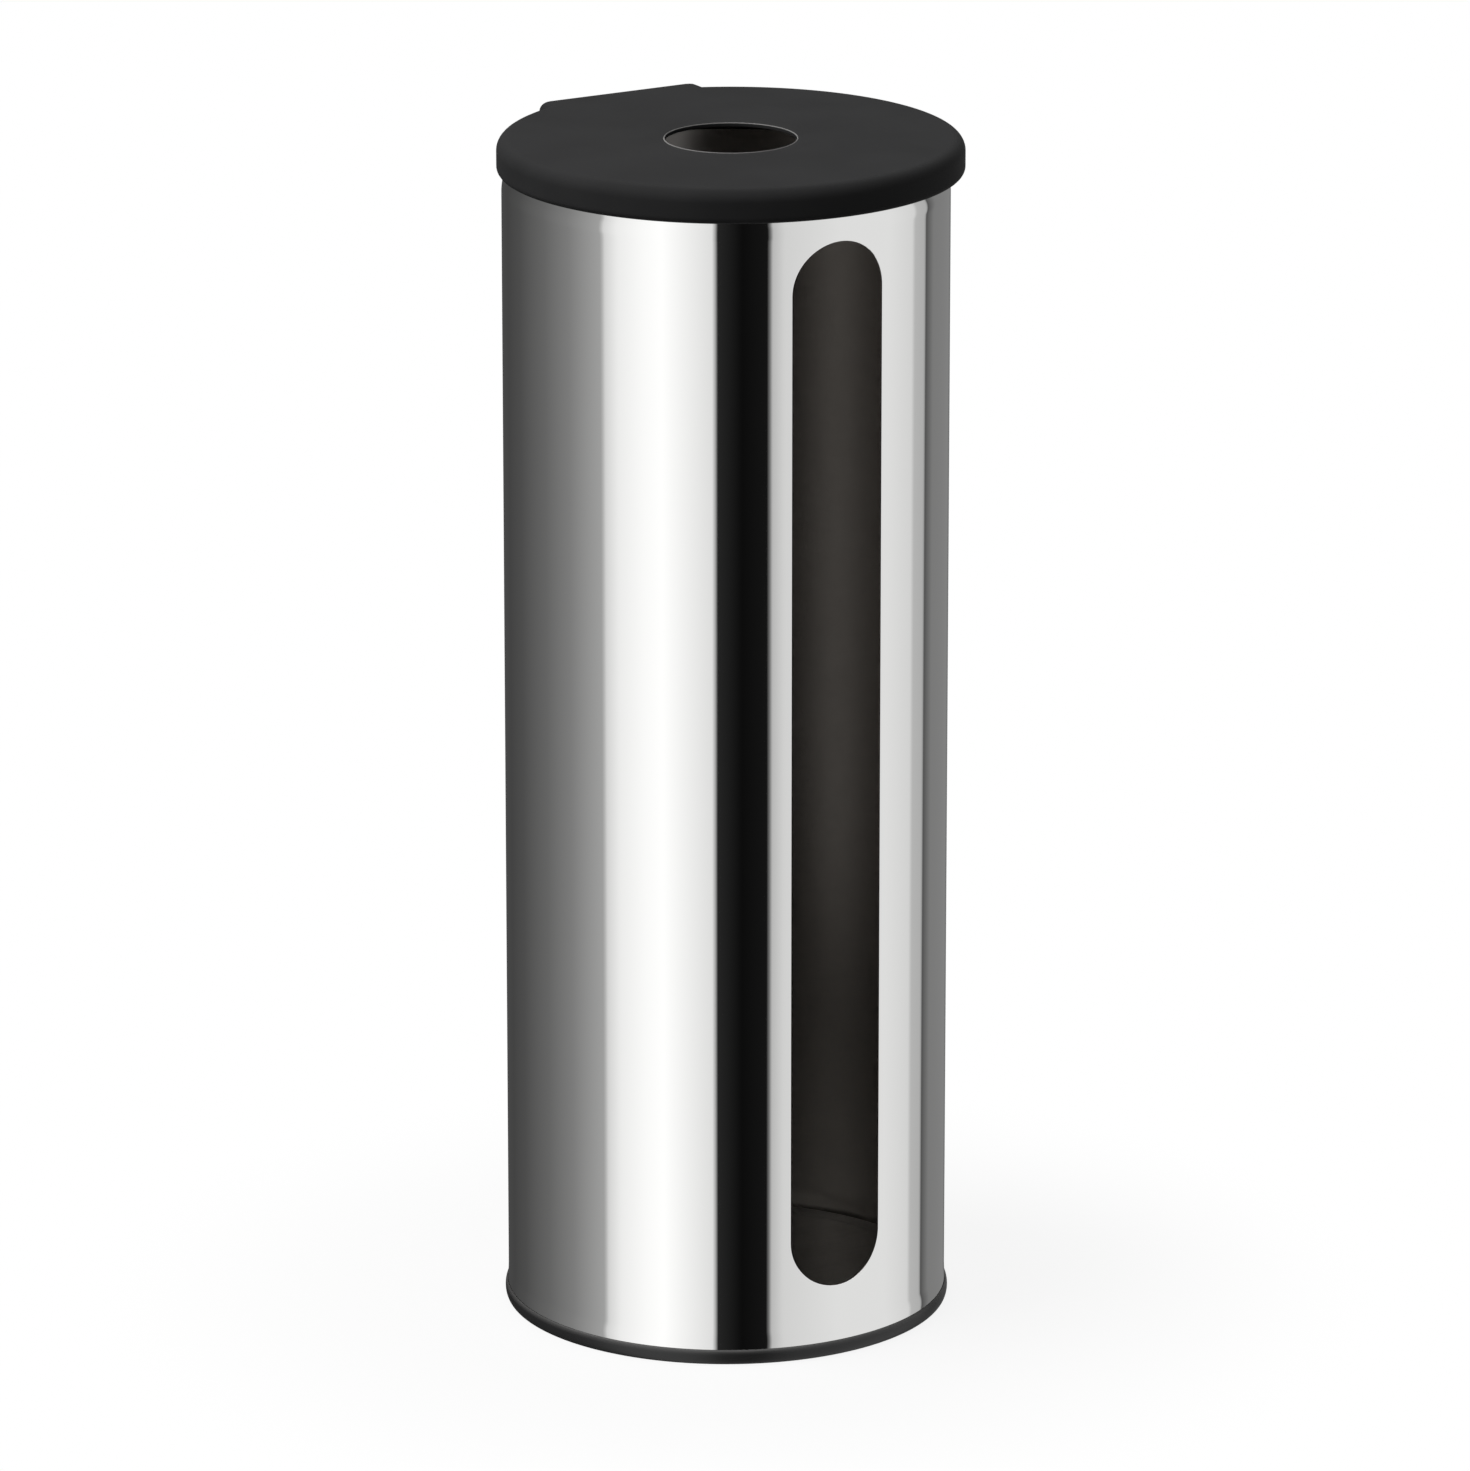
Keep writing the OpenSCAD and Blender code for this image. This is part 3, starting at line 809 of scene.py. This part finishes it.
# %% Rings of the lid
RIM_COLUMNS, SIDE_COLUMNS, CORNER_COLUMNS, BACK_COLUMNS = 240, 6, 8, 40
BLOCK_COLUMNS = 2 * SIDE_COLUMNS + 2 * CORNER_COLUMNS + BACK_COLUMNS - 1


def drawn_in(height, lower, upper):
    """How far a face stands back at a height above the lid's lower face: where a fillet begins,
    d further on it has drawn in by its radius less the root of radius squared less d squared."""
    back = 0 * height
    for radius, deep in ((lower, lower - height), (upper, height - LID_T + upper)):
        back = back + radius - np.sqrt(radius**2 - np.clip(deep, 0, radius) ** 2)
    return back


def outer_rings(height):
    """Rings at these heights, counter-clockwise from above: the rim from the block's left side
    round the front, the block's right side, its corner, its back, and the same on the left."""
    height = np.asarray(height, float)[:, None]
    r = LID_R - drawn_in(height, LOWER_R, UPPER_R)
    half = BLOCK_HALF - drawn_in(height, BLOCK_LOW_R, BLOCK_SIDE_R)
    rear = BLOCK_BACK - drawn_in(height, LID_T / 2, BLOCK_BACK_R)
    start = np.arcsin(half / r)
    turn = start + (2 * np.pi - 2 * start) * np.linspace(0, 1, RIM_COLUMNS + 1)
    rim_x, rim_y = -r * np.sin(turn), LID_Y + r * np.cos(turn)
    knee = BLOCK_HALF - BLOCK_CORNER
    bend = np.maximum(rear - BLOCK_BACK + BLOCK_CORNER, BLOCK_CORNER_LEAST)
    up = np.linspace(0, 1, SIDE_COLUMNS + 1)[1:]
    side_y = rim_y[:, -1:] + (rear - bend - rim_y[:, -1:]) * up
    a = np.linspace(0, np.pi / 2, CORNER_COLUMNS + 1)[1:]
    right_x = np.hstack([half + 0 * up, knee + (half - knee) * np.cos(a)])
    right_y = np.hstack([side_y, rear - bend + bend * np.sin(a)])
    back_x = knee * np.linspace(1, -1, BACK_COLUMNS + 1)[1:-1] + 0 * height
    x = np.hstack([rim_x, right_x, back_x, -right_x[:, ::-1]])
    y = np.hstack([rim_y, right_y, rear + 0 * back_x, right_y[:, ::-1]])
    return np.stack([x, y, height + 0 * x], axis=-1)


def inner_rings(inset, height):
    """Rings inside the wall: an arc, then the straight front of the block from right to left."""
    inset, height = (np.asarray(v, float)[:, None] for v in (inset, height))
    r, front = LID_R - LID_WALL - inset, BLOCK_FRONT - inset
    half = np.sqrt(r**2 - (front - LID_Y) ** 2)
    start = np.arcsin(half / r)
    turn = start + (2 * np.pi - 2 * start) * np.linspace(0, 1, RIM_COLUMNS + 1)
    line_x = half * np.linspace(1, -1, BLOCK_COLUMNS + 2)[1:-1]
    x = np.hstack([-r * np.sin(turn), line_x])
    y = np.hstack([LID_Y + r * np.cos(turn), front + 0 * line_x])
    return np.stack([x, y, height + 0 * x], axis=-1)


# %% The lid's sheet of points
SPREAD = (0.01, 0.3, 0.65, 0.99)
ROUND_ROWS, BEAD_ROWS, HOLE_ROWS, INNER_ROWS = 13, 7, 4, 6
WALL_ROWS, WALL_INSET = 4, 0.2


def lid_grid():
    """All rings of the lid in mm above its lower face, from the outer lower edge round to the
    inner one. Between two rings in one plane, rows are straight blends of the two."""
    a = np.linspace(0, np.pi / 2, ROUND_ROWS)
    lower, upper = LID_T / 2 * (1 - np.cos(a)), LID_T - UPPER_R * (1 - np.sin(a))
    outside = outer_rings(np.concatenate([lower, upper]))
    top = outside[-1]
    spoke = top[:, :2] - (0, LID_Y)
    spoke /= np.hypot(spoke[:, :1], spoke[:, 1:])

    def hole_rings(radius, height):
        radius, height = (np.asarray(v, float)[:, None] for v in (radius, height))
        x, y = radius * spoke[:, 0], LID_Y + radius * spoke[:, 1]
        return np.stack([x, y, height + 0 * x], axis=-1)

    def between(first, last):
        share = np.array(SPREAD)[:, None, None]
        return first + (last - first) * share

    last = np.arcsin(1 - 2 * BEAD_R / DISH_W)
    a = np.linspace(0, last, ROUND_ROWS)
    dish = hole_rings(HOLE_R + DISH_W * (1 - np.sin(a)), LID_T - DISH_D * (1 - np.cos(a)))
    b = np.linspace(0, np.pi, BEAD_ROWS)[1:]
    bead_z = LID_T - DISH_D * (1 - np.cos(last)) + BEAD_R * np.sin(b)
    bead = hole_rings(HOLE_R + BEAD_R * (1 + np.cos(b)), bead_z)
    under = LID_T - TOP_T
    e = np.linspace(0, np.pi / 2, HOLE_ROWS)
    hole = hole_rings(HOLE_R + HOLE_EDGE * (1 - np.cos(e)), under + HOLE_EDGE * (1 - np.sin(e)))
    f = np.linspace(0, np.pi / 2, INNER_ROWS)
    inside = inner_rings(INNER_R * (1 - np.sin(f)), under - INNER_R * (1 - np.cos(f)))
    down = np.linspace(under - INNER_R - WALL_INSET, LIP_R + WALL_INSET, WALL_ROWS)
    down = np.concatenate([down, LIP_R * (1 - np.sin(e))])
    lip = np.concatenate([np.zeros(WALL_ROWS), -LIP_R * (1 - np.cos(e))])
    rows = [outside, between(top, dish[0]), dish, bead, hole]
    rows += [between(hole[-1], inside[0]), inside, inner_rings(lip, down)]
    return np.concatenate(rows)


def to_place(grid):
    """From mm above the lid's lower face to metres in the frame."""
    return (grid + (0, 0, LID_Z)) * MM


# %% [markdown]
# The pale line, a painted highlight on the bead, and the smoother ring round the hole follow the
# distance from the lid's centre, so the finish takes that distance from the place on the lid. The
# line is kept to the bead by
# the height as well, or it would go on down through the hole.

# %% The lid's finish
TOUCHED_R = 34 * MM
LINE_R, LINE_IN, LINE_OUT = (HOLE_R + 2 * BEAD_R) * MM, 0.02 * MM, 0.06 * MM
LINE_DEPTH, LINE_RISE = 0.7 * DISH_D, 0.1 * MM
LINE_Z = (LID_Z + LID_T - LINE_DEPTH) * MM


def hole_wear_and_highlight(where):
    """Two masks: smoother wear, 1 up to the hole's edge and fading over a finger's width, and a
    painted highlight, 1 on the bead.
    """
    flat = {"Vector": where, "Location": (0, -LID_Y * MM, 0), "Scale": (1, 1, 0)}
    level = where.node("Mapping", inputs=flat)
    reach = where.node("VectorMath", {"operation": "LENGTH"}, {0: level}, "Value")
    rim = reach.ease(LINE_R - LINE_IN, LINE_R + LINE_OUT, 1, 0)
    _, _, z = where.split()
    return reach.ease(HOLE_R * MM, TOUCHED_R, 1, 0), rim * z.ease(LINE_Z, LINE_Z + LINE_RISE)


# The pale line on the bead at the hole's edge is a painted highlight.
lid_plastic = moulded("lid_matt", (0.03, 0.03, 0.0305), dull=0.5, shine=0.04, wear_and_highlight=hole_wear_and_highlight)
lid = build("lid_cap", *joined([to_place(lid_grid())], closed=True), lid_plastic)

# %% [markdown]
# The block is hollow: a pocket takes the post of the hinge, two cores leave two ears beside it,
# and the pin's bore runs through. These are cut with a boolean, because the cuts meet curved
# faces at odd lines that no grid would follow. The result is kept and the cutters are thrown
# away.

# %% The pocket, the cores and the bore
POCKET_HALF, POCKET_R = 10.4, 3.4
EAR_T = 3.5
CORE_IN, CORE_OUT = POCKET_HALF + EAR_T, BLOCK_HALF - EAR_T
CORE_FRONT = BLOCK_FRONT + EAR_T / 2
BORE_R, BORE_COLUMNS = 1.55, 48
OVER = 1


def box_grid(low, high):
    """A box as four corners round, at two heights, with both ends drawn together."""
    x0, y0, z0, x1, y1, z1 = *low, *high
    ring = np.array([(x0, y0), (x1, y0), (x1, y1), (x0, y1)], float)
    middle = np.tile(ring.mean(0), (4, 1))
    rows = [(middle, z0), (ring, z0), (ring, z1), (middle, z1)]
    return np.stack([np.column_stack([row, np.full(4, z)]) for row, z in rows])


def carve(piece, *cutters):
    """Takes each cutter away from the piece, keeps the result as its mesh, and deletes them."""
    for cutter in cutters:
        cut = piece.modifiers.new("cut", "BOOLEAN")
        cut.object, cut.operation, cut.solver = cutter, "DIFFERENCE", "EXACT"
    whole = piece.evaluated_get(bpy.context.evaluated_depsgraph_get())
    mesh = bpy.data.meshes.new_from_object(whole)
    piece.modifiers.clear()
    piece.data = mesh
    mesh.shade_smooth()
    mesh.set_sharp_from_angle(angle=SHARP_ANGLE)
    for cutter in cutters:
        bpy.data.objects.remove(cutter)
    print("%s after the cuts: %d faces" % (piece.name, len(mesh.polygons)))


low = (-POCKET_HALF, AXIS_Y - POCKET_R, -OVER)
boxes = [box_grid(low, (POCKET_HALF, AXIS_Y + LID_T, LID_T / 2 + POCKET_R))]
for side in (-1, 1):
    x0, x1 = sorted((side * CORE_IN, side * CORE_OUT))
    high = (x1, CORE_FRONT + LID_T - EAR_T, LID_T - TOP_T)
    boxes.append(box_grid((x0, CORE_FRONT, -OVER), high))
pockets = build("pockets", *joined([to_place(box) for box in boxes]), lid_plastic)
reach = BLOCK_HALF + OVER
outline = np.array([(0, -reach), (BORE_R, -reach), (BORE_R, reach), (0, reach)])
x, y, z = np.moveaxis(turned(outline, BORE_COLUMNS), -1, 0)
rod = np.stack([z, x + AXIS_Y * MM, y + AXIS_Z * MM], axis=-1)
bore = build("bore", *joined([rod]), lid_plastic)
carve(lid, pockets, bore)
place(lid, "lid", "lid_plastic", "lid")

# %% [markdown]
# ## Under the lid
# A thin top needs ribs: a ring, and eight spokes that come down at the wall to rest on the
# collar. A low ring across the spokes drops into the collar and keeps the lid in its place.
# Each is a small closed shape of its own that runs a little way into the lid.

# %% The ribs
RIB_T, RIB_H, RIB_EDGE, RIB_COUNT = 1.6, 4, 0.2, 8
RIB_RING_R, RIB_RING_SOFT, RIB_RING_COLUMNS = 36, 0.3, 192
SEAT_IN, SEAT_SLOPE = 60.2, 0.3
SINK = 0.5


def capped(rings):
    """Rings of a swept shape with both ends closed: before the first and after the last one
    all points come together in the ring's middle."""
    ends = rings.mean(axis=1, keepdims=True) + 0 * rings
    return np.concatenate([ends[:1], rings, ends[-1:]])


def section(half, low, high):
    """A rib's cross-section, counter-clockwise: half its width to each side, from high down to
    low, with the two lower edges taken off."""
    e = RIB_EDGE
    left = [(-half, high), (-half, low + e), (e - half, low)]
    return left + [(half - e, low), (half, low + e), (half, high)]


def spoke_grid(turn):
    """A rib outwards along an angle: its section at four radii, deeper from the seat onwards."""
    under = LID_T - TOP_T
    deep = under - RIB_H
    stops = [(RIB_RING_R + RIB_T / 2, deep), (SEAT_IN - SEAT_SLOPE, deep)]
    stops += [(SEAT_IN, 0), (LID_R - LID_WALL + SINK, 0)]
    rings = []
    for r, low in stops:
        side, height = np.array(section(RIB_T / 2, low, under + SINK)).T
        x = r * np.cos(turn) - side * np.sin(turn)
        y = r * np.sin(turn) + side * np.cos(turn) + LID_Y
        rings.append(np.stack([x, y, height], axis=-1))
    return to_place(capped(np.array(rings)))


spokes = [spoke_grid(2 * np.pi * (i + 0.5) / RIB_COUNT) for i in range(RIB_COUNT)]
low, high = LID_T - TOP_T - RIB_H, LID_T - TOP_T + SINK
inner, outer = RIB_RING_R, RIB_RING_R + RIB_T
corners = [(inner, low, RIB_RING_SOFT), (outer, low, RIB_RING_SOFT)]
ring = turned(rounded(corners + [(outer, high, 0), (inner, high, 0)]), RIB_RING_COLUMNS)
ring = np.concatenate([ring, ring[:1]]) + np.array((0, LID_Y, LID_Z)) * MM
ribs = build("lid_ribs", *joined([*spokes, ring]), lid_plastic)
place(ribs, "lid", "lid_plastic", "lid")

# %% The ring that drops into the collar
SPIGOT_R, SPIGOT_T, SPIGOT_OPEN, SPIGOT_RINGS = 64.7, 1.6, 30, 221


def spigot_grid():
    """The same section carried round the tube's axis: from the block's left side round the
    front to its right, where each point stops at the same distance from the middle."""
    low, high = LID_LOW.z, LID_Z + LID_T - TOP_T + SINK
    side, height = np.array(section(SPIGOT_T / 2, low, high)).T
    r = SPIGOT_R - SPIGOT_T / 2 - side
    start = np.arcsin(SPIGOT_OPEN / r)
    turn = start + (2 * np.pi - 2 * start) * np.linspace(0, 1, SPIGOT_RINGS)[:, None]
    rings = np.stack([-r * np.sin(turn), r * np.cos(turn), height + 0 * turn], axis=-1)
    return capped(rings) * MM


spigot = build("lid_spigot", *joined([spigot_grid()]), lid_plastic)
place(spigot, "lid", "lid_plastic", "lid")

# %% [markdown]
# ## The collar and the hinge pin
# The collar's ring, tab and post and the pin come in with their true shape from the
# construction, so they keep it and only get their finish.

# %% Finishes of the pieces that stay
for name, material in (("rim_collar", inner_plastic), ("hinge_pin", pin_steel)):
    node = frame["nodes"][name]
    node.data.materials.clear()
    node.data.materials.append(material)
    print(name, "is", material.name)

# %% [markdown]
# ## The picture's own settings
# The Standard transform shows a colour as it is written, and all else stays as it comes.

# %% The view transform
bpy.context.scene.view_settings.view_transform = "Standard"
